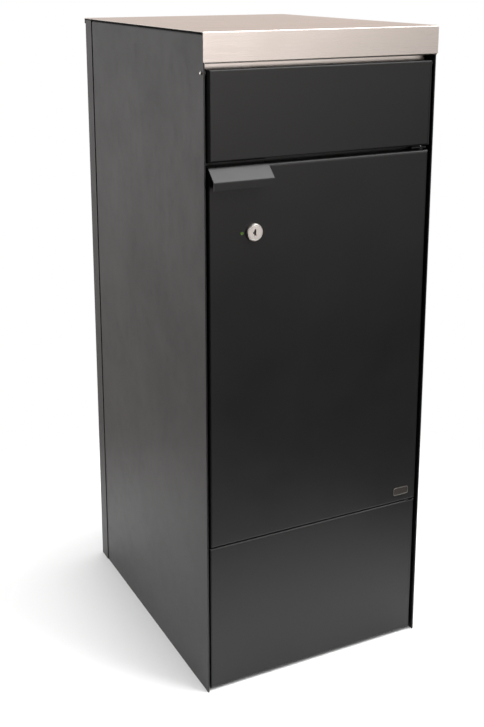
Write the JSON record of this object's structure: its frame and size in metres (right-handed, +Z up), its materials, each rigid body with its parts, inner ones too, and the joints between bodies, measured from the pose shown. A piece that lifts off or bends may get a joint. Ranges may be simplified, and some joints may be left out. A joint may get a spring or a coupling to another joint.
{
  "type": "parcel drop box",
  "caption": "Tall free-standing sheet-steel parcel box with a drop flap, a lockable door with a bent pull handle, a plinth panel and a brushed stainless lid.",
  "frame": {"origin": "centre of the floor anchor pattern on the base plate's underside, at mid width and mid depth of the body", "axes": "+Z up; X across, to the right seen from the front; +Y to the back, so the door faces -Y"},
  "size_m": [0.3836, 0.496, 1],
  "materials": {
    "anthracite_powder_coat": "satin powder coat with a fine leather-like texture",
    "black_powder_coat": "satin black powder coat with a fine texture",
    "brushed_stainless": "brushed along its width",
    "stainless_pin": "turned and polished",
    "zinc_plated_steel": "bright zinc plate",
    "black_rubber": "matt",
    "black_plastic": "fine grained",
    "ferrite": "ground",
    "satin_nickel": "satin nickel plate",
    "green_mark": "glossy",
    "badge_metal": "dark anodised, blank"
  },
  "bodies": {
    "body": {"side_panel_left": "anthracite_powder_coat", "side_panel_right": "anthracite_powder_coat", "rear_panel": "anthracite_powder_coat", "base_plate": "anthracite_powder_coat", "compartment_floor": "anthracite_powder_coat", "jamb_left": "anthracite_powder_coat", "jamb_right": "anthracite_powder_coat", "mid_rail": "anthracite_powder_coat", "top_rail": "anthracite_powder_coat", "lid": "brushed_stainless", "lid_gaskets": "black_rubber", "lid_studs": "stainless_pin", "lid_nuts": "zinc_plated_steel", "plinth_panel": "black_powder_coat", "plinth_brackets": "zinc_plated_steel", "plinth_screws": "zinc_plated_steel", "drop_chute": "anthracite_powder_coat", "chute_screws": "zinc_plated_steel", "anti_theft_baffle": "anthracite_powder_coat", "baffle_screws": "zinc_plated_steel", "hinge_bracket_upper": "black_powder_coat", "hinge_bracket_lower": "zinc_plated_steel", "hinge_pin_upper": "stainless_pin", "hinge_pin_lower": "stainless_pin", "bracket_rivets": "zinc_plated_steel", "magnet_holder": "black_plastic", "magnet": "ferrite", "door_bumpers": "black_rubber", "flap_bumpers": "black_rubber", "flap_pin_left": "stainless_pin", "flap_pin_right": "stainless_pin"},
    "flap": {"flap_panel": "black_powder_coat", "flap_stiffener": "anthracite_powder_coat", "flap_bushes": "black_plastic"},
    "door": {"door_panel": "black_powder_coat", "door_stiffener": "anthracite_powder_coat", "hinge_bush_upper": "black_plastic", "hinge_bush_lower": "black_plastic", "door_handle": "black_powder_coat", "handle_rivets": "black_powder_coat", "lock_housing": "satin_nickel", "lock_nut": "zinc_plated_steel", "indicator_dot": "green_mark", "badge_plate": "badge_metal"},
    "lock": {"lock_plug": "satin_nickel", "lock_cam": "zinc_plated_steel", "cam_screw": "zinc_plated_steel"}
  },
  "joints": [
    {"name": "door_hinge", "type": "hinge", "parent": "body", "child": "door", "pos_m": [0.1735, -0.2275, 0.529], "axis": [0, 0, 1], "range_deg": [0, 105]},
    {"name": "flap_hinge", "type": "hinge", "parent": "body", "child": "flap", "pos_m": [0, -0.2301, 0.9445], "axis": [-1, 0, 0], "range_deg": [0, 75]},
    {"name": "lock_turn", "type": "hinge", "parent": "door", "child": "lock", "pos_m": [-0.113, -0.2415, 0.719], "axis": [0, -1, 0], "range_deg": [0, 90]}
  ]
}
